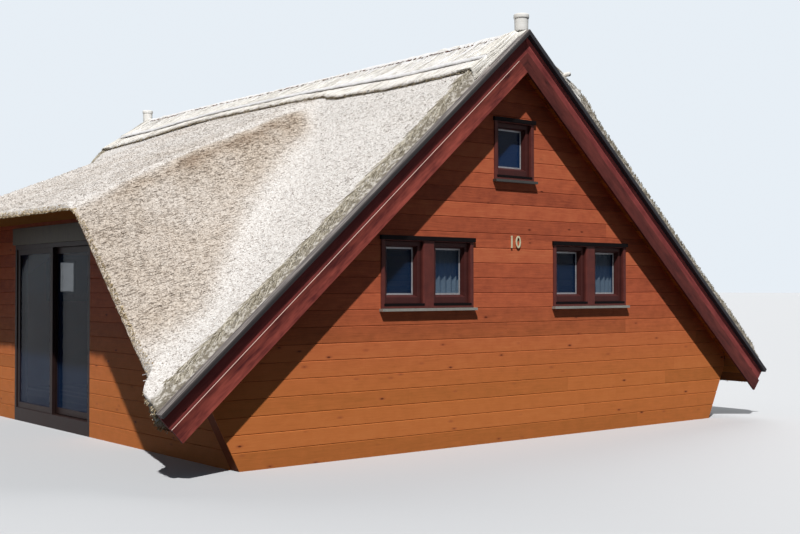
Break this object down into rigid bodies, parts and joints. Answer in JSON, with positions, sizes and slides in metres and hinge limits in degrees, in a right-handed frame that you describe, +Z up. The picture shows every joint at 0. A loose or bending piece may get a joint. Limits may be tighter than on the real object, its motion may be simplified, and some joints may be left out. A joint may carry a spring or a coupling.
{
  "type": "thatched gable chalet",
  "caption": "Timber chalet with a steep reed-thatch roof, a raised eave over a sliding terrace door, boarded gables with windows and double bargeboards.",
  "frame": {"origin": "on the ground, in the middle of the house", "axes": "+Y runs along the ridge from the front gable to the rear gable, the front gable faces -Y, the terrace side with the raised eave faces -X, +Z is up"},
  "size_m": [9.8683, 10.144, 5.167],
  "materials": {
    "glazing": "clear double glazing, dark from outside",
    "reed_thatch": "weathered reed, matt and coarse",
    "ridge_reed": "paler newer reed, matt",
    "roof_boarding": "planed softwood, oiled",
    "bargeboard_red_brown": "deep red-brown stain, satin",
    "grey_flashing": "folded sheet, dark grey",
    "metal_sill": "folded sheet, grey",
    "clay_pot": "unglazed pale clay",
    "number_metal": "cream paint",
    "handle_steel": "brushed",
    "terrace_joinery": "dark brown paint, satin",
    "window_joinery": "dark purple-brown paint, satin",
    "floor_boards": "oiled boards",
    "wall_boards": "orange-brown stain on softwood boards"
  },
  "bodies": {
    "house": {"door_header_box": "terrace_joinery", "dormer_lining": "roof_boarding", "fixed_leaf": "terrace_joinery", "fixed_leaf_glass": "glazing", "floor": "floor_boards", "front_left_lower_bargeboard": "bargeboard_red_brown", "front_left_window": "window_joinery", "front_loft_window": "window_joinery", "front_right_lower_bargeboard": "bargeboard_red_brown", "front_right_window": "window_joinery", "front_upper_bargeboard": "bargeboard_red_brown", "front_verge_flashing": "grey_flashing", "front_wall": "wall_boards", "front_window_glass": "glazing", "front_window_sills": "metal_sill", "house_number": "number_metal", "left_wall_front": "wall_boards", "left_wall_over_door": "wall_boards", "left_wall_rear": "wall_boards", "rear_left_lower_bargeboard": "bargeboard_red_brown", "rear_left_window": "window_joinery", "rear_loft_window": "window_joinery", "rear_right_lower_bargeboard": "bargeboard_red_brown", "rear_right_window": "window_joinery", "rear_upper_bargeboard": "bargeboard_red_brown", "rear_verge_flashing": "grey_flashing", "rear_wall": "wall_boards", "rear_window_glass": "glazing", "rear_window_sills": "metal_sill", "ridge_cap_lower": "ridge_reed", "ridge_cap_upper": "ridge_reed", "ridge_pot_front": "clay_pot", "ridge_pot_rear": "clay_pot", "ridge_roll": "ridge_reed", "right_wall": "wall_boards", "roof_lining_left": "roof_boarding", "roof_lining_right": "roof_boarding", "terrace_door_frame": "terrace_joinery", "thatch_dormer": "reed_thatch", "thatch_left_front": "reed_thatch", "thatch_left_rear": "reed_thatch", "thatch_right": "reed_thatch"},
    "sliding_door": {"sliding_leaf": "terrace_joinery", "sliding_leaf_glass": "glazing", "door_handle": "handle_steel"}
  },
  "joints": [
    {"name": "terrace_door_slide", "type": "slide", "parent": "house", "child": "sliding_door", "axis": [0, 1, 0], "range_m": [0, 1.09]}
  ]
}
